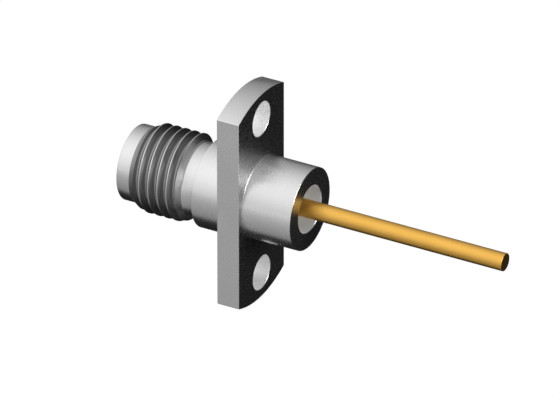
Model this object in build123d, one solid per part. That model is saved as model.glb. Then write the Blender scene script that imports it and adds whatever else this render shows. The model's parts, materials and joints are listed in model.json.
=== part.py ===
from build123d import *
import math
import os

# Panel-mount RF coaxial connector: threaded jack, two-hole flange, long solder pin.
#
# Frame, in millimetres: X is the axis of the connector. The origin is where the
# axis meets the rear face of the flange, which seats on the panel. The threaded
# mating end points to -X and the solder pin to +X. Z runs from one flange hole to
# the other.
#
# The connector is three turned pieces. The body is one bar of stainless steel. A
# white plastic bead fills its middle and stands against a shoulder. The gold-plated
# contact runs through the bead: a slotted socket in front, a long pin behind.

# Flange, a disc with two milled flats and a hole near each end
flange_diameter = 16.0
flange_width = 6.6
flange_thickness = 1.68
hole_inset = 1.9
hole_diameter = 2.5

# Rear boss, which passes through the panel
boss_diameter = 5.9
boss_length = 3.72
boss_bore_diameter = 3.4

# Front end of the body, from the flange forward
neck_diameter = 6.3
neck_length = 2.11
relief_width = 1.0
relief_below_root = 0.067
nose_length = 0.98
nose_below_root = 0.017
nose_edge_break = 0.08

# Coupling thread, 1/4-36 right-hand
thread_diameter = 6.3
thread_length = 4.05
threads_per_inch = 36
thread_depth = 0.433
thread_crest_flat = 0.088
thread_angle = 60.0
lead_in_angle = 30.0
thread_end_angle = 55.0
thread_clocking = -85.0

# Socket at the mating end, down to the reference plane
socket_diameter = 4.6
socket_depth = 1.92
socket_mouth_break = 0.08

# Insulating bead, from the reference plane to the shoulder in the body
insulator_bore_diameter = 4.1
insulator_length = 8.5

# Centre contact
contact_diameter = 1.27
contact_setback = 0.1
contact_edge_break = 0.06
contact_bore_diameter = 0.94
contact_bore_depth = 3.0
contact_mouth_break = 0.1
contact_drill_angle = 118.0
slot_count = 4
slot_width = 0.15
slot_length = 2.4
collar_diameter = 1.9
collar_length = 0.8
pin_diameter = 1.27
pin_reach = 18.6

# Room between the turned pieces, on the radius
seat_clearance = 0.01

# How far a cutter stands past what it cuts
overcut = 0.04
mm_per_inch = 25.4

# Places along the axis, worked out from the sizes
flange_front = -flange_thickness
neck_front = flange_front - neck_length
relief_front = neck_front - relief_width
thread_front = relief_front - thread_length
nose_front = thread_front - nose_length
reference_plane = nose_front + socket_depth
shoulder = reference_plane + insulator_length
collar_front = shoulder - collar_length
contact_front = reference_plane + contact_setback

# Hole spacing, radii and the thread's pitch, worked out from the sizes
hole_spacing = flange_diameter - 2 * hole_inset
thread_pitch = mm_per_inch / threads_per_inch
thread_radius = thread_diameter / 2
root_radius = thread_radius - thread_depth
nose_radius = root_radius - nose_below_root
relief_radius = root_radius - relief_below_root
neck_radius = neck_diameter / 2
boss_radius = boss_diameter / 2
socket_radius = socket_diameter / 2
bead_bore_radius = insulator_bore_diameter / 2
contact_radius = contact_diameter / 2
contact_bore_radius = contact_bore_diameter / 2
collar_radius = collar_diameter / 2


def slope_run(rise, angle):
    """How far along the axis a cone of this half angle takes to rise this much."""
    return rise / math.tan(math.radians(angle))


def turned(*corners):
    """A solid turned about X from one half of its section, given as (x, radius) corners."""
    outline = Polyline(*[(x, 0, radius) for x, radius in corners], close=True)
    return revolve(make_face(outline), Axis.X)


def body_blank():
    """The outside of the body as turned, before its flange and thread."""
    lead_in = slope_run(thread_radius - nose_radius, lead_in_angle)
    end_run = slope_run(thread_radius - relief_radius, thread_end_angle)
    return turned(
        (nose_front, 0),
        (nose_front, nose_radius - nose_edge_break),
        (nose_front + nose_edge_break, nose_radius),
        (thread_front, nose_radius),
        (thread_front + lead_in, thread_radius),
        (relief_front - end_run, thread_radius),
        (relief_front, relief_radius),
        (neck_front, relief_radius),
        (neck_front, neck_radius),
        (flange_front, neck_radius),
        (flange_front, boss_radius),
        (boss_length, boss_radius),
        (boss_length, 0),
    )


def threaded(blank):
    """The blank with its right-hand V groove, cut one turn of the helix at a time.

    The groove ends halfway along the relief and runs out over the nose, so each end
    of the thread is shaped only by a cone of the blank.
    """
    widen = math.tan(math.radians(thread_angle / 2))
    root_half = (thread_pitch - thread_crest_flat) / 2 - thread_depth * widen
    mouth_half = root_half + (thread_depth + overcut) * widen
    mouth_radius = thread_radius + overcut
    end = relief_front + relief_width / 2
    turns = math.ceil((end - thread_front + mouth_half) / thread_pitch)
    start = end - turns * thread_pitch
    section = Polyline(
        (start - root_half, 0, root_radius),
        (start - mouth_half, 0, mouth_radius),
        (start + mouth_half, 0, mouth_radius),
        (start + root_half, 0, root_radius),
        close=True,
    )
    path = Helix(
        pitch=thread_pitch,
        height=thread_pitch,
        radius=root_radius,
        center=(start, 0, 0),
        direction=(1, 0, 0),
    )
    cutter = Rot(X=thread_clocking) * sweep(make_face(section), path=path, is_frenet=True)
    for turn in range(turns):
        blank -= Pos(X=turn * thread_pitch) * cutter
    return blank


def flange():
    """The flange plate: a disc, two milled flats and two plain holes."""
    outline = Circle(flange_diameter / 2) & Rectangle(flange_width, flange_diameter)
    holes = GridLocations(0, hole_spacing, 1, 2) * Circle(hole_diameter / 2)
    return extrude(Plane.YZ * (outline - holes), amount=-flange_thickness)


def passage():
    """The stepped bore through the body: socket, bead bore, shoulder and boss bore."""
    boss_bore_radius = boss_bore_diameter / 2
    return turned(
        (nose_front - overcut, 0),
        (nose_front - overcut, socket_radius + socket_mouth_break + overcut),
        (nose_front + socket_mouth_break, socket_radius),
        (reference_plane, socket_radius),
        (reference_plane, bead_bore_radius),
        (shoulder, bead_bore_radius),
        (shoulder, boss_bore_radius),
        (boss_length + overcut, boss_bore_radius),
        (boss_length + overcut, 0),
    )


def build_body():
    """The one-piece steel body."""
    return threaded(body_blank()) + flange() - passage()


def build_insulator():
    """The bead, from the reference plane to the shoulder, with a seat for the collar."""
    outer = bead_bore_radius - seat_clearance
    inner = contact_radius + seat_clearance
    collar_seat = collar_radius + seat_clearance
    return turned(
        (reference_plane, inner),
        (reference_plane, outer),
        (shoulder, outer),
        (shoulder, collar_seat),
        (collar_front, collar_seat),
        (collar_front, inner),
    )


def build_contact():
    """The contact: slotted socket, shank, collar in the bead's seat, and solder pin."""
    pin_radius = pin_diameter / 2
    bore_bottom = contact_front + contact_bore_depth
    bar = turned(
        (contact_front, 0),
        (contact_front, contact_radius - contact_edge_break),
        (contact_front + contact_edge_break, contact_radius),
        (collar_front, contact_radius),
        (collar_front, collar_radius),
        (shoulder, collar_radius),
        (shoulder, pin_radius),
        (pin_reach, pin_radius),
        (pin_reach, 0),
    )
    bore = turned(
        (contact_front - overcut, 0),
        (contact_front - overcut, contact_bore_radius + contact_mouth_break + overcut),
        (contact_front + contact_mouth_break, contact_bore_radius),
        (bore_bottom, contact_bore_radius),
        (bore_bottom + slope_run(contact_bore_radius, contact_drill_angle / 2), 0),
    )
    contact = bar - bore
    slot_start = contact_front - overcut
    slot_end = contact_front + slot_length
    slot = Pos((slot_start + slot_end) / 2, 0, contact_radius / 2) * Box(
        slot_end - slot_start, slot_width, contact_radius + overcut
    )
    for turn in range(slot_count):
        contact -= Rot(X=turn * 360 / slot_count) * slot
    return contact


os.makedirs("parts", exist_ok=True)
nodes = {
    "body": build_body(),
    "insulator": build_insulator(),
    "centre_contact": build_contact(),
}
for name, shape in nodes.items():
    export_step(shape, f"parts/{name}.step")
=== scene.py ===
import json
import math

import bmesh
import bpy
from mathutils import Matrix, Vector


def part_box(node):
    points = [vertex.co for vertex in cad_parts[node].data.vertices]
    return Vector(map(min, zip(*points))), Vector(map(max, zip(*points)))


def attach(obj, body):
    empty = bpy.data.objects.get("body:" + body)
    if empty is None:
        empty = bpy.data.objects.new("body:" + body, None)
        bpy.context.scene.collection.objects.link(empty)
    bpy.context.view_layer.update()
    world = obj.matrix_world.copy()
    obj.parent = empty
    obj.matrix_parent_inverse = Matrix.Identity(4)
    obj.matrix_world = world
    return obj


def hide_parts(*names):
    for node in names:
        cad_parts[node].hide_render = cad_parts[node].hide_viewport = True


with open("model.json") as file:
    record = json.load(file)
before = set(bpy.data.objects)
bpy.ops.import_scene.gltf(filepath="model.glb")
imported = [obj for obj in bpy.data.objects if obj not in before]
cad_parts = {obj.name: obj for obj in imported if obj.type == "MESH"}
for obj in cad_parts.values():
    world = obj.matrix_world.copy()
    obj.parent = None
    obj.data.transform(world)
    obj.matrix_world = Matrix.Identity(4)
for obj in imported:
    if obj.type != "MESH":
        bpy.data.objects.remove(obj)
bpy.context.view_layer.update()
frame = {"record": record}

# Panel-mount RF coaxial connector. The axis of the connector is X, the flange seats
# at x = 0, the threaded mating end points to -X and the gold pin to +X.
#
# Every piece is turned, milled, drilled and threaded here in millimetres, in the
# order of the real work, and brought to metres as it is finished.

metres_per_mm = 0.001
mm_per_inch = 25.4
mounts = {mount["name"]: mount["dims"] for mount in frame["record"]["mounts"]}


def ends_mm(node):
    """Where a node of the frame starts and stops along the axis, in millimetres."""
    low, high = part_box(node)
    return low[0] / metres_per_mm, high[0] / metres_per_mm


# Places along the axis
nose_length = 0.98
relief_width = 1.0
neck_length = 2.11
flange_thickness = 1.68
nose_front, boss_end = ends_mm("body")
reference_plane, shoulder = ends_mm("insulator")
contact_front, pin_tip = ends_mm("centre_contact")
thread_front = nose_front + nose_length
neck_front = -flange_thickness - neck_length
relief_front = neck_front - relief_width

# Flange
flange_radius = 8.0
flange_half_width = 3.3
hole_spacing = mounts["flange_holes"]["spacing_y_mm"]
hole_radius = mounts["flange_holes"]["hole_r_mm"]

# Coupling thread, right-hand, and the turned places before and behind it
threads_per_inch = 36
thread_radius = 3.15
thread_depth = 0.433
crest_flat = 0.088
flank_angle = math.radians(30)
lead_in_angle = math.radians(30)
thread_end_angle = math.radians(55)
groove_turned_by = math.radians(-85)
nose_below_root = 0.017
relief_below_root = 0.067
thread_pitch = mm_per_inch / threads_per_inch
root_radius = thread_radius - thread_depth
nose_radius = root_radius - nose_below_root
relief_radius = root_radius - relief_below_root
thread_back = relief_front - (thread_radius - relief_radius) / math.tan(thread_end_angle)

# Other turned and bored sizes of the body, as radii
neck_radius = 3.15
boss_radius = mounts["rear_boss"]["r_mm"]
boss_bore_radius = 1.7
socket_radius = mounts["front_socket"]["r_mm"]
bead_bore_radius = 2.05

# Centre contact
pin_radius = mounts["terminal_pin"]["r_mm"]
contact_bore_radius = mounts["contact_socket"]["r_mm"]
contact_bore_depth = 3.0
drill_half_angle = math.radians(59)
collar_radius = 0.95
collar_length = 0.8
collar_front = shoulder - collar_length
slot_width = 0.15
slot_length = 2.4

# Room between the turned pieces, on the radius
seat_clearance = 0.01

# Edge breaks and small rounds, as the setback from the sharp corner
nose_break = 0.08
socket_mouth_break = 0.08
contact_mouth_break = 0.1
turned_break = 0.04
milled_break = 0.035
drilled_break = 0.03
pin_break = 0.03
tool_nose_radius = 0.03
crest_break = 0.01
root_round = 0.03

# How finely round things are stepped, and the angle that tells an edge from a curve
body_steps = 192
rim_steps = 288
hole_steps = 96
contact_steps = 96
break_steps = 4
edge_angle = math.radians(27)

# How far a cutter stands past what it cuts, and by how little two skins that meet overlap
overcut = 0.2
hair = 0.004

# Points nearer than this are one point, on any piece and at the seams of the groove
smallest_gap = 1e-5
seam_gap = 1e-3


def whole(bm):
    """All the parts of a mesh, as an operator takes them."""
    return bm.verts[:] + bm.edges[:] + bm.faces[:]


def points_of(parts):
    """The points among the parts that an operator made."""
    return [part for part in parts if isinstance(part, bmesh.types.BMVert)]


def section(corners):
    """A half section over the axis, from (x, radius, edge break) corners."""
    bm = bmesh.new()
    points = [bm.verts.new((x, 0, radius)) for x, radius, _ in corners]
    bm.faces.new(points)
    for point, (_, _, setback) in zip(points, corners):
        if setback:
            bmesh.ops.bevel(
                bm,
                geom=[point],
                offset=setback,
                segments=break_steps,
                profile=0.5,
                affect="VERTICES",
                material=-1,
            )
    bmesh.ops.delete(bm, geom=bm.faces[:], context="FACES_ONLY")
    return bm


def turned(corners, steps):
    """A solid turned about the axis from its half section."""
    bm = section(corners)
    for edge in bm.edges[:]:
        if all(abs(v.co.z) < smallest_gap for v in edge.verts):
            bm.edges.remove(edge)
    bmesh.ops.spin(
        bm,
        geom=bm.verts[:] + bm.edges[:],
        cent=(0, 0, 0),
        axis=(1, 0, 0),
        dvec=(0, 0, 0),
        angle=math.tau,
        steps=steps,
        use_merge=True,
    )
    bmesh.ops.remove_doubles(bm, verts=bm.verts[:], dist=smallest_gap)
    bmesh.ops.recalc_face_normals(bm, faces=bm.faces[:])
    return bm


def loose_object(name, bm):
    """An object that holds this mesh at the mesh's own size."""
    mesh = bpy.data.meshes.new(name)
    bm.to_mesh(mesh)
    bm.free()
    blank = bpy.data.objects.new(name, mesh)
    bpy.context.scene.collection.objects.link(blank)
    return blank


def combine(blank, tool, operation):
    """Joins a tool's form to the blank, or cuts it out, and throws the tool away."""
    cut = blank.modifiers.new(operation, "BOOLEAN")
    cut.operation = operation
    cut.solver = "MANIFOLD"
    cut.object = tool
    shaped = blank.evaluated_get(bpy.context.evaluated_depsgraph_get())
    mesh = bpy.data.meshes.new_from_object(shaped)
    blank.modifiers.clear()
    blank.data = mesh
    bpy.data.objects.remove(tool)


def finished(blank, material, node):
    """The blank brought to metres, shaded by its edges, and put in the node's place."""
    bm = bmesh.new()
    bm.from_mesh(blank.data)
    bmesh.ops.remove_doubles(bm, verts=bm.verts[:], dist=smallest_gap)
    for edge in bm.edges:
        edge.smooth = edge.calc_face_angle(0) < edge_angle
    for face in bm.faces:
        face.smooth = True
    bmesh.ops.scale(bm, verts=bm.verts[:], vec=(metres_per_mm,) * 3)
    bm.to_mesh(blank.data)
    bm.free()
    blank.data.materials.clear()
    blank.data.materials.append(material)
    weighted = blank.modifiers.new("flat faces", "WEIGHTED_NORMAL")
    weighted.keep_sharp = True
    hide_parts(node)
    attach(blank, "root")


def body_blank():
    """The bar as turned, with a hub that the flange plate is joined to."""
    lead_in = (thread_radius - nose_radius) / math.tan(lead_in_angle)
    hub_front = hair - flange_thickness
    hub_radius = neck_radius + tool_nose_radius + hair
    return turned(
        [
            (nose_front, 0, 0),
            (nose_front, nose_radius, nose_break),
            (thread_front, nose_radius, 0),
            (thread_front + lead_in, thread_radius, 0),
            (thread_back, thread_radius, 0),
            (relief_front, relief_radius, turned_break),
            (neck_front, relief_radius, turned_break),
            (neck_front, neck_radius, turned_break),
            (hub_front, neck_radius, tool_nose_radius),
            (hub_front, hub_radius, 0),
            (-hair, hub_radius, 0),
            (-hair, boss_radius, tool_nose_radius),
            (boss_end, boss_radius, turned_break),
            (boss_end, 0, 0),
        ],
        body_steps,
    )


def flange_plate():
    """A disc with two milled flats and all its edges broken."""
    bm = bmesh.new()
    bmesh.ops.create_circle(bm, cap_ends=True, radius=flange_radius, segments=rim_steps)
    upright = Matrix.Rotation(math.radians(90), 3, "Y")
    bmesh.ops.rotate(bm, verts=bm.verts[:], cent=(0, 0, 0), matrix=upright)
    front = bmesh.ops.extrude_face_region(bm, geom=bm.faces[:])["geom"]
    bmesh.ops.translate(bm, verts=points_of(front), vec=(-flange_thickness, 0, 0))
    for side in (-1, 1):
        milled = bmesh.ops.bisect_plane(
            bm,
            geom=whole(bm),
            plane_co=(0, side * flange_half_width, 0),
            plane_no=(0, side, 0),
            clear_outer=True,
        )["geom_cut"]
        rim = [part for part in milled if isinstance(part, bmesh.types.BMEdge)]
        bmesh.ops.holes_fill(bm, edges=rim)
    bmesh.ops.recalc_face_normals(bm, faces=bm.faces[:])
    bmesh.ops.bevel(
        bm,
        geom=[edge for edge in bm.edges if edge.calc_face_angle(0) > edge_angle],
        offset=milled_break,
        segments=break_steps,
        profile=0.5,
        affect="EDGES",
        material=-1,
    )
    return bm


def hole_drills():
    """The two drills of the flange holes, which break the holes' edges too."""
    mouth = hole_radius + drilled_break + overcut
    bm = turned(
        [
            (-flange_thickness - overcut, 0, 0),
            (-flange_thickness - overcut, mouth, 0),
            (-flange_thickness + drilled_break, hole_radius, milled_break),
            (-drilled_break, hole_radius, milled_break),
            (overcut, mouth, 0),
            (overcut, 0, 0),
        ],
        hole_steps,
    )
    bmesh.ops.translate(bm, verts=bm.verts[:], vec=(0, 0, -hole_spacing / 2))
    second = bmesh.ops.duplicate(bm, geom=whole(bm))["geom"]
    bmesh.ops.translate(bm, verts=points_of(second), vec=(0, 0, hole_spacing))
    return bm


def passage():
    """What is bored out of the body: socket, bead bore, shoulder and boss bore."""
    return turned(
        [
            (nose_front - overcut, 0, 0),
            (nose_front - overcut, socket_radius + socket_mouth_break + overcut, 0),
            (nose_front + socket_mouth_break, socket_radius, turned_break),
            (reference_plane, socket_radius, 0),
            (reference_plane, bead_bore_radius, milled_break),
            (shoulder, bead_bore_radius, 0),
            (shoulder, boss_bore_radius, milled_break),
            (boss_end - turned_break, boss_bore_radius, milled_break),
            (boss_end + overcut, boss_bore_radius + turned_break + overcut, 0),
            (boss_end + overcut, 0, 0),
        ],
        body_steps,
    )


def thread_groove():
    """The right-hand V groove, with a rounded root and walls that flare at the crest."""
    flank_slope = math.tan(flank_angle)
    flare_slope = 1 / flank_slope
    root_half = (thread_pitch - crest_flat) / 2 - thread_depth * flank_slope
    flare_radius = thread_radius - crest_break
    flare_half = root_half + (flare_radius - root_radius) * flank_slope
    mouth_radius = thread_radius + hair
    mouth_half = flare_half + (mouth_radius - flare_radius) * flare_slope
    end = (relief_front + neck_front) / 2
    turns = math.ceil((end - thread_front + mouth_half) / thread_pitch)
    start = end - turns * thread_pitch
    bm = section(
        [
            (start - root_half, root_radius, root_round),
            (start - flare_half, flare_radius, crest_break),
            (start - mouth_half, mouth_radius, 0),
            (start + mouth_half, mouth_radius, 0),
            (start + flare_half, flare_radius, crest_break),
            (start + root_half, root_radius, root_round),
        ]
    )
    turned_by = Matrix.Rotation(groove_turned_by, 3, "X")
    bmesh.ops.rotate(bm, verts=bm.verts[:], cent=(0, 0, 0), matrix=turned_by)
    bmesh.ops.spin(
        bm,
        geom=bm.verts[:] + bm.edges[:],
        cent=(0, 0, 0),
        axis=(1, 0, 0),
        dvec=(thread_pitch / body_steps, 0, 0),
        angle=math.tau,
        steps=body_steps,
        use_merge=False,
    )
    one_turn = whole(bm)
    for turn in range(1, turns):
        copy = bmesh.ops.duplicate(bm, geom=one_turn)["geom"]
        bmesh.ops.translate(bm, verts=points_of(copy), vec=(turn * thread_pitch, 0, 0))
    bmesh.ops.remove_doubles(bm, verts=bm.verts[:], dist=seam_gap)
    bmesh.ops.holes_fill(bm, edges=[edge for edge in bm.edges if edge.is_boundary])
    bmesh.ops.recalc_face_normals(bm, faces=bm.faces[:])
    return bm


def make_body(material):
    """The steel body: turned, joined with its flange, bored, drilled and threaded."""
    body = loose_object("connector_body", body_blank())
    combine(body, loose_object("plate", flange_plate()), "UNION")
    combine(body, loose_object("passage", passage()), "DIFFERENCE")
    combine(body, loose_object("drills", hole_drills()), "DIFFERENCE")
    combine(body, loose_object("groove", thread_groove()), "DIFFERENCE")
    finished(body, material, "body")


def make_insulator(material):
    """The white bead, with a seat for the contact's collar in its rear end."""
    outer = bead_bore_radius - seat_clearance
    inner = pin_radius + seat_clearance
    seat = collar_radius + seat_clearance
    bm = turned(
        [
            (reference_plane, inner, milled_break),
            (reference_plane, outer, milled_break),
            (shoulder, outer, milled_break),
            (shoulder, seat, milled_break),
            (collar_front, seat, 0),
            (collar_front, inner, 0),
        ],
        body_steps,
    )
    finished(loose_object("bead_insulator", bm), material, "insulator")


def contact_bar():
    """The contact as turned: round shank, collar and long solder pin."""
    return turned(
        [
            (contact_front, 0, 0),
            (contact_front, pin_radius, turned_break),
            (collar_front, pin_radius, 0),
            (collar_front, collar_radius, pin_break),
            (shoulder, collar_radius, pin_break),
            (shoulder, pin_radius, 0),
            (pin_tip, pin_radius, pin_break),
            (pin_tip, 0, 0),
        ],
        contact_steps,
    )


def contact_bore():
    """The drilled bore of the contact's socket, with its mouth opened for the plug."""
    bore_bottom = contact_front + contact_bore_depth
    mouth = contact_bore_radius + contact_mouth_break + overcut
    return turned(
        [
            (contact_front - overcut, 0, 0),
            (contact_front - overcut, mouth, 0),
            (contact_front + contact_mouth_break, contact_bore_radius, milled_break),
            (bore_bottom, contact_bore_radius, 0),
            (bore_bottom + contact_bore_radius / math.tan(drill_half_angle), 0, 0),
        ],
        contact_steps,
    )


def slotting_saws():
    """Two crossed blades, which slot the contact's socket into four fingers."""
    bm = bmesh.new()
    length = slot_length + overcut
    blade = Vector((length, slot_width, 2 * (pin_radius + overcut)))
    for quarter in range(2):
        made = bmesh.ops.create_cube(bm, size=1)["verts"]
        bmesh.ops.scale(bm, verts=made, vec=blade)
        bmesh.ops.translate(bm, verts=made, vec=(contact_front - overcut + length / 2, 0, 0))
        turned_by = Matrix.Rotation(math.radians(90 * quarter), 3, "X")
        bmesh.ops.rotate(bm, verts=made, cent=(0, 0, 0), matrix=turned_by)
    return bm


def make_contact(material):
    """The gold-plated contact: turned, drilled and slotted."""
    contact = loose_object("gold_contact", contact_bar())
    combine(contact, loose_object("drill", contact_bore()), "DIFFERENCE")
    combine(contact, loose_object("saws", slotting_saws()), "DIFFERENCE")
    finished(contact, material, "centre_contact")


class Nodes:
    """The nodes of a material or a world, with short ways to add and link them."""

    def __init__(self, holder, shader="Principled BSDF"):
        holder.use_nodes = True
        self.holder = holder
        self.tree = holder.node_tree
        self.shader = self.tree.nodes[shader]

    def add(self, kind, **settings):
        """A new node, with some of its settings changed."""
        node = self.tree.nodes.new(kind)
        for name, value in settings.items():
            setattr(node, name, value)
        return node

    def fill(self, socket, value):
        """Gives a socket a number, a colour or what another node makes."""
        if isinstance(value, bpy.types.NodeSocket):
            self.tree.links.new(value, socket)
        elif isinstance(value, tuple):
            socket.default_value = (*value, 1)
        else:
            socket.default_value = value

    def set(self, name, value):
        """Fills one of the shader's own sockets."""
        self.fill(self.shader.inputs[name], value)

    def math(self, operation, first, second=0.0):
        """What a Math node makes of one or two values."""
        node = self.add("ShaderNodeMath", operation=operation)
        self.fill(node.inputs[0], first)
        self.fill(node.inputs[1], second)
        return node.outputs[0]

    def remap(self, value, low, high, start=0.0, end=1.0, interpolation="LINEAR"):
        """Carries a value from start to end over to low to high, and holds it past them."""
        node = self.add("ShaderNodeMapRange", interpolation_type=interpolation)
        self.fill(node.inputs["Value"], value)
        self.fill(node.inputs["From Min"], start)
        self.fill(node.inputs["From Max"], end)
        self.fill(node.inputs["To Min"], low)
        self.fill(node.inputs["To Max"], high)
        return node.outputs["Result"]

    def step(self, value, start, end):
        """0 at the start and 1 at the end, smooth between, whichever is higher."""
        return self.remap(value, 0.0, 1.0, start, end, "SMOOTHSTEP")

    def blend(self, amount, first, second, kind="RGBA"):
        """A colour or a plain value between two others, each given or made by nodes."""
        mix = self.add("ShaderNodeMix", data_type=kind)
        self.fill(mix.inputs["Factor"], amount)
        for name, value in (("A", first), ("B", second)):
            self.fill([s for s in mix.inputs if s.name == name and s.enabled][0], value)
        return [s for s in mix.outputs if s.enabled][0]

    def parts(self, vector):
        """The X, Y and Z of a vector."""
        split = self.add("ShaderNodeSeparateXYZ")
        self.fill(split.inputs[0], vector)
        return split.outputs[:]

    def object_place(self):
        """Object coordinates, in metres."""
        return self.add("ShaderNodeTexCoord").outputs["Object"]


class Finish(Nodes):
    """The finish of a piece of the connector, which knows the places on it.

    In millimetres, along is X, across is Y, up is Z and out is the distance from the
    axis.
    """

    def __init__(self, name):
        super().__init__(bpy.data.materials.new(name))
        self.place = self.object_place()
        self.along, self.across, self.up = [
            self.math("DIVIDE", part, metres_per_mm) for part in self.parts(self.place)
        ]
        self.out = self.distance(self.across, self.up)

    def distance(self, *sides):
        """How far a point lies from an axis, given its two distances across it."""
        squares = [self.math("MULTIPLY", side, side) for side in sides]
        return self.math("SQRT", self.math("ADD", *squares))

    def mean(self, first, second):
        """The mean of two values."""
        return self.math("MULTIPLY", self.math("ADD", first, second), 0.5)

    def lines(self, place, per_mm, detail):
        """Fine lines side by side, from 0 to 1."""
        noise = self.add("ShaderNodeTexNoise", noise_dimensions="1D")
        self.fill(noise.inputs["W"], place)
        self.fill(noise.inputs["Scale"], per_mm)
        self.fill(noise.inputs["Detail"], detail)
        return noise.outputs["Fac"]

    def rings(self, per_mm, detail):
        """Fine rings left by the turning tool, on round skins and on faced ones."""
        return self.lines(self.math("ADD", self.along, self.out), per_mm, detail)

    def strokes(self, per_mm, detail):
        """Straight marks of the milling cutter across the plate."""
        return self.lines(self.up, per_mm, detail)

    def clouds(self, per_mm, detail):
        """Soft patches over the piece, from 0 to 1."""
        noise = self.add("ShaderNodeTexNoise")
        self.fill(noise.inputs["Vector"], self.place)
        self.fill(noise.inputs["Scale"], per_mm / metres_per_mm)
        self.fill(noise.inputs["Detail"], detail)
        return noise.outputs["Fac"]

    def past(self, place, blur):
        """1 behind a place on the axis, 0 in front of it."""
        return self.step(self.along, place - blur, place + blur)

    def before(self, place, blur):
        """1 in front of a place on the axis, 0 behind it."""
        return self.step(self.along, place + blur, place - blur)

    def close(self, value, place, fade):
        """1 where a value is close to a place or short of it, 0 past it."""
        off = self.math("SUBTRACT", value, place)
        return self.step(off, *fade)

    def bump(self, height, strength, distance_mm):
        """Raises the surface where the height is greater, by this much at full strength."""
        bump = self.add("ShaderNodeBump")
        self.fill(bump.inputs["Height"], height)
        self.fill(bump.inputs["Strength"], strength)
        self.fill(bump.inputs["Distance"], distance_mm * metres_per_mm)
        self.set("Normal", bump.outputs["Normal"])


# Steel colours: the turned skin where dull and where clean, painted shade on the walls of
# the thread at root and crest and on the faced ends, and painted light on the drilled and
# bored walls
dull_skin = (0.60, 0.60, 0.605)
clean_skin = (0.68, 0.68, 0.675)
thread_root_painted_shade = (0.32, 0.32, 0.32)
thread_crest_painted_shade = (0.20, 0.20, 0.20)
end_face_painted_shade = (0.45, 0.45, 0.45)
hole_wall_painted_light = (0.88, 0.88, 0.88)
bore_painted_light_cool = (0.84, 0.88, 0.92)

# Roughness of the turned steel, and what the thread and the drilled walls add to it
turned_roughness = (0.22, 0.32)
thread_roughens = 0.12
drill_roughens = 0.34

# How much of the thread's painted shade its run-out cone has
runout_shade_share = 0.4

# Bead and gold colours, from patch to patch, with their roughness
bead_whites = ((0.84, 0.84, 0.81), (0.90, 0.90, 0.88))
bead_roughness = (0.42, 0.6)
gold_tones = ((0.70, 0.39, 0.075), (0.78, 0.45, 0.10))
gold_roughness = (0.30, 0.42)
# Painted shade: darker gold on the pin's end face
pin_end_painted_shade = (0.34, 0.20, 0.05)

# How far from a skin its look is gone, and how near it is full, in millimetres
end_fade = (0.004, 0.001)
flat_fade = (0.010, 0.002)
wall_fade = (0.012, 0.004)
crest_fade = (0.002, -0.006)

# How softly one look turns into the next along the axis, in millimetres
groove_blur = 0.01
cone_blur = 0.02


def thread_shade_mask(steel):
    """1 on the cut walls and root of the thread, where shade is painted, 0 on its crests and
    elsewhere.
    """
    behind_nose = steel.past(thread_front, groove_blur)
    below_crest = steel.close(steel.out, thread_radius, crest_fade)
    cut = steel.math("MULTIPLY", behind_nose, below_crest)
    return steel.math("MULTIPLY", cut, steel.before(thread_back, cone_blur))


def runout_shade_mask(steel):
    """1 on the cone behind the thread, where the tool runs out and shade is painted, 0
    elsewhere.
    """
    behind_thread = steel.past(thread_back, cone_blur)
    return steel.math("MULTIPLY", behind_thread, steel.before(relief_front, groove_blur))


def milled_flats(steel):
    """1 on the two flats of the flange, 0 elsewhere."""
    inside = steel.math("SUBTRACT", flange_half_width, steel.math("ABSOLUTE", steel.across))
    return steel.step(inside, *flat_fade)


def end_faces_shade_mask(steel):
    """1 on the ends of the body and the faces of its flange, where shade is painted, 0
    elsewhere.
    """
    ends = 0.0
    for place in (nose_front, -flange_thickness, 0.0, boss_end):
        off = steel.math("ABSOLUTE", steel.math("SUBTRACT", steel.along, place))
        ends = steel.math("ADD", steel.step(off, *end_fade), ends)
    return ends


def hole_walls(steel):
    """1 on the walls of the flange holes, where light is painted, 0 elsewhere."""
    from_hole = steel.math("SUBTRACT", steel.math("ABSOLUTE", steel.up), hole_spacing / 2)
    return steel.close(steel.distance(steel.across, from_hole), hole_radius, wall_fade)


def bore_walls(steel):
    """1 on the wall of the boss bore and on what is nearer the axis, where cool light is
    painted, 0 elsewhere.
    """
    return steel.close(steel.out, boss_bore_radius, wall_fade)


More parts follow.
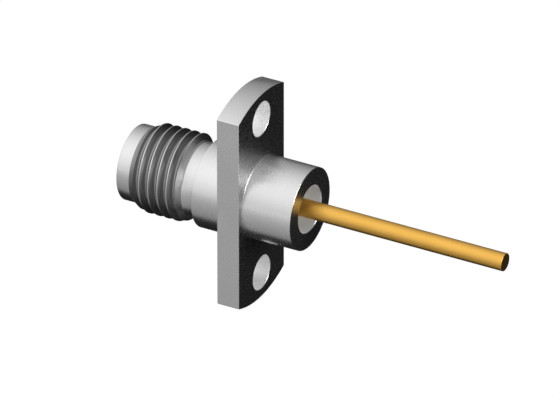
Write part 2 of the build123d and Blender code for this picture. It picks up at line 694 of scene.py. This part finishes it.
def turned_steel():
    """Stainless steel with fine turning rings and a satin skin, with painted shade in the
    thread and on the end faces, and painted light on the hole and bore walls.
    """
    steel = Finish("turned_steel")
    patches = steel.clouds(per_mm=0.35, detail=3.0)
    rings = steel.rings(per_mm=14.0, detail=3.0)
    strokes = steel.strokes(per_mm=10.0, detail=2.0)
    marks = steel.blend(milled_flats(steel), rings, strokes, "FLOAT")
    # Painted shade on the run-out cone behind the thread
    painted_runout_shade = steel.math("MULTIPLY", runout_shade_mask(steel), runout_shade_share)
    # Painted shade on the thread's cut walls and root, with a share of it on the run-out
    # cone
    painted_thread_shade = steel.math("ADD", thread_shade_mask(steel), painted_runout_shade)
    holes = hole_walls(steel)
    bore = bore_walls(steel)

    # The painted shade of the thread's walls, darker towards the crest
    flank = steel.step(steel.out, root_radius, thread_radius)
    cut = steel.blend(flank, thread_root_painted_shade, thread_crest_painted_shade)
    colour = steel.blend(painted_thread_shade, steel.blend(patches, dull_skin, clean_skin), cut)
    # Painted shade: darker steel on the end faces
    colour = steel.blend(end_faces_shade_mask(steel), colour, end_face_painted_shade)
    # Painted light: lighter steel on the walls of the flange holes
    colour = steel.blend(holes, colour, hole_wall_painted_light)
    # Painted light: lighter, cooler steel on the boss bore's wall, which offsets the gold
    # pin's warm reflection
    colour = steel.blend(bore, colour, bore_painted_light_cool)

    rough = steel.remap(steel.mean(marks, patches), *turned_roughness)
    rough = steel.math("ADD", rough, steel.math("MULTIPLY", painted_thread_shade, thread_roughens))
    drilled = steel.math("MULTIPLY", steel.math("MAXIMUM", holes, bore), drill_roughens)

    steel.set("Metallic", 1.0)
    steel.set("Base Color", colour)
    steel.set("Roughness", steel.math("ADD", rough, drilled))
    steel.bump(marks, strength=0.2, distance_mm=0.004)
    return steel.holder


def white_bead():
    """White PTFE, waxy, with faint turning rings."""
    bead = Finish("white_bead")
    rings = bead.rings(per_mm=10.0, detail=2.0)
    bead.set("Subsurface Weight", 0.15)
    bead.set("Subsurface Radius", Vector((0.5, 0.5, 0.5)))
    bead.set("Subsurface Scale", 0.3 * metres_per_mm)
    bead.set("Base Color", bead.blend(bead.clouds(per_mm=0.8, detail=2.0), *bead_whites))
    bead.set("Roughness", bead.remap(rings, *bead_roughness))
    bead.bump(rings, strength=0.3, distance_mm=0.006)
    return bead.holder


def gold_plating():
    """Gold plating over fine turning rings, deeper in patches, with painted shade on the
    pin's end face.
    """
    gold = Finish("gold_plating")
    patches = gold.clouds(per_mm=0.6, detail=3.0)
    rings = gold.rings(per_mm=18.0, detail=3.0)
    # Painted shade on the pin's end face
    pin_end_shade_mask = gold.step(gold.math("SUBTRACT", pin_tip, gold.along), *end_fade)
    gold.set("Metallic", 1.0)
    gold.set("Base Color", gold.blend(pin_end_shade_mask, gold.blend(patches, *gold_tones), pin_end_painted_shade))
    gold.set("Roughness", gold.remap(gold.mean(rings, patches), *gold_roughness))
    gold.bump(rings, strength=0.2, distance_mm=0.003)
    return gold.holder


make_body(turned_steel())
make_insulator(white_bead())
make_contact(gold_plating())

# The photograph is an orthographic view, so a long lens stands far back
photo_azimuth = math.radians(27.8)
photo_elevation = math.radians(31.05)
photo_width = 38.15 * metres_per_mm
view_centre = Vector((1.178, 0.464, -0.231)) * metres_per_mm
camera_distance = 0.75
sensor_width = 36.0

# Floor, in metres, with its paper and the share of plain white that is seen over it
floor_height = -0.06
floor_size = 4.0
floor_colour = (0.9, 0.9, 0.9)
white_share = 0.9

# Dome of light: where it is brightest, how fast it falls off, and its white horizon
dome_from = (math.radians(-55), math.radians(45))
dome_fall = 2.0
dome_bright = 1.38
horizon_height = 0.05

# Side lamp, which reaches into the holes and the bore
lamp_power = 6.0
lamp_size = 0.4
lamp_distance = 0.7
lamp_from = (math.radians(84), math.radians(24))

# Cards, in metres: how low they lie, how far they reach, where one gives way to the
# next, and how high the standing ones are
card_height = -0.045
card_reach = 0.6
front_reach = 0.5
front_edge = -0.015
left_edge = -0.08
far_edge = 0.18
back_top = 0.08
right_top = 0.2

# Papers of the cards: two plain ones, and a grey that pales from its darkest value
black_paper = (0.006, 0.006, 0.006)
dark_paper = (0.1, 0.1, 0.1)
graded_dark = 0.12
graded_rise = 1.05
graded_power = 0.5


def direction(azimuth, elevation):
    """From the object towards a place round it: azimuth 0 is in front, at -Y."""
    return Vector(
        (
            math.sin(azimuth) * math.cos(elevation),
            -math.cos(azimuth) * math.cos(elevation),
            math.sin(elevation),
        )
    )


def facing_back(towards):
    """The turn of a camera or lamp that stands in this direction and faces the object."""
    return (-towards).to_track_quat("-Z", "Y").to_euler()


def make_camera():
    """The camera at the photograph's angle and scale."""
    lens = bpy.data.cameras.new("camera")
    lens.sensor_width = sensor_width
    lens.lens = sensor_width * camera_distance / photo_width
    camera = bpy.data.objects.new("camera", lens)
    towards = direction(photo_azimuth, photo_elevation)
    camera.location = view_centre + towards * camera_distance
    camera.rotation_euler = facing_back(towards)
    bpy.context.scene.collection.objects.link(camera)
    bpy.context.scene.camera = camera


def matt_paper(name, colour):
    """A plain matt paper for the studio, still open to changes."""
    paper = Nodes(bpy.data.materials.new(name))
    paper.set("Base Color", colour)
    paper.set("Roughness", 1.0)
    paper.set("Specular IOR Level", 0.0)
    return paper


def pale_floor():
    """Pale paper that the camera, metal and glass see almost white, shadow and all."""
    floor = matt_paper("pale_floor", floor_colour)
    rays = floor.add("ShaderNodeLightPath").outputs
    seen = floor.math("MAXIMUM", rays["Is Camera Ray"], rays["Is Glossy Ray"])
    seen = floor.math("MAXIMUM", seen, rays["Is Transmission Ray"])
    mix = floor.add("ShaderNodeMixShader")
    floor.fill(mix.inputs[0], floor.math("MULTIPLY", seen, white_share))
    floor.fill(mix.inputs[1], floor.shader.outputs[0])
    floor.fill(mix.inputs[2], floor.add("ShaderNodeEmission").outputs[0])
    floor.fill(floor.tree.nodes["Material Output"].inputs["Surface"], mix.outputs[0])
    return floor.holder


def graded_paper():
    """Grey paper, darker under the object and paler away from it along Y."""
    paper = matt_paper("graded_card", dark_paper)
    away = paper.math("ABSOLUTE", paper.parts(paper.object_place())[1])
    rise = paper.math("MULTIPLY", paper.math("POWER", away, graded_power), graded_rise)
    paper.set("Base Color", paper.math("ADD", rise, graded_dark))
    return paper.holder


def card(name, corners, paper):
    """A flat card that shows only in what the metal reflects."""
    bm = bmesh.new()
    bm.faces.new([bm.verts.new(corner) for corner in corners])
    sheet = loose_object(name, bm)
    sheet.data.materials.append(paper)
    sheet.visible_camera = False
    sheet.visible_diffuse = False
    sheet.visible_shadow = False


def lying(low, high):
    """The corners of a card that lies just above the floor, from its low to its high one."""
    places = (low, (high[0], low[1]), high, (low[0], high[1]))
    return [(x, y, card_height) for x, y in places]


def standing(first, second, top):
    """The corners of a card that stands on the lying ones, from one place to another."""
    foot = [(*first, card_height), (*second, card_height)]
    return foot + [(*second, top), (*first, top)]


def lay_cards():
    """The papers that the steel mirrors: graded in front, dark and black behind."""
    black = matt_paper("black_card", black_paper).holder
    dark = matt_paper("dark_card", dark_paper).holder
    graded = graded_paper()
    right_back = (card_reach, card_reach)
    left_back = (-card_reach, card_reach)
    middle_back = (left_edge, card_reach)
    card("black_card", lying((left_edge, front_edge), right_back), black)
    card("back_card", standing(middle_back, right_back, back_top), black)
    card("right_card", standing((card_reach, front_edge), right_back, right_top), black)
    card("grey_card", lying((-card_reach, -front_reach), (card_reach, front_edge)), graded)
    card("left_card", lying((-card_reach, front_edge), (left_edge, far_edge)), graded)
    card("far_card", lying((-card_reach, far_edge), middle_back), dark)
    card("far_back_card", standing(left_back, middle_back, back_top), dark)


def lay_floor():
    """A wide plain floor under the object."""
    bm = bmesh.new()
    bmesh.ops.create_grid(bm, x_segments=1, y_segments=1, size=floor_size / 2)
    bmesh.ops.translate(bm, verts=bm.verts[:], vec=(0, 0, floor_height))
    floor = loose_object("floor", bm)
    floor.data.materials.append(pale_floor())


def hang_side_lamp():
    """A square soft lamp at the pin's end, which faces the object."""
    light = bpy.data.lights.new("side_softbox", "AREA")
    light.energy = lamp_power
    light.size = lamp_size
    lamp = bpy.data.objects.new("side_softbox", light)
    towards = direction(*lamp_from)
    lamp.location = towards * lamp_distance
    lamp.rotation_euler = facing_back(towards)
    lamp.visible_camera = False
    bpy.context.scene.collection.objects.link(lamp)


def light_dome():
    """A soft dome of light, brightest on one side, over a white horizon."""
    world = bpy.data.worlds.new("studio")
    sky = Nodes(world, "Background")
    place = sky.add("ShaderNodeTexCoord").outputs["Generated"]
    facing = sky.add("ShaderNodeVectorMath", operation="DOT_PRODUCT")
    sky.fill(facing.inputs[0], place)
    sky.fill(facing.inputs[1], direction(*dome_from))
    share = sky.remap(facing.outputs["Value"], 0.0, 1.0, start=-1.0)
    level = sky.math("MULTIPLY", sky.math("POWER", share, dome_fall), dome_bright)
    height = sky.parts(place)[2]
    horizon = sky.remap(height, 1.0, 0.0, start=horizon_height / 2, end=horizon_height)
    sky.set("Strength", sky.math("MAXIMUM", level, horizon))
    sky.set("Color", (1.0, 1.0, 1.0))
    bpy.context.scene.world = world


make_camera()
lay_floor()
light_dome()
hang_side_lamp()
lay_cards()
bpy.context.scene.view_settings.view_transform = "Standard"
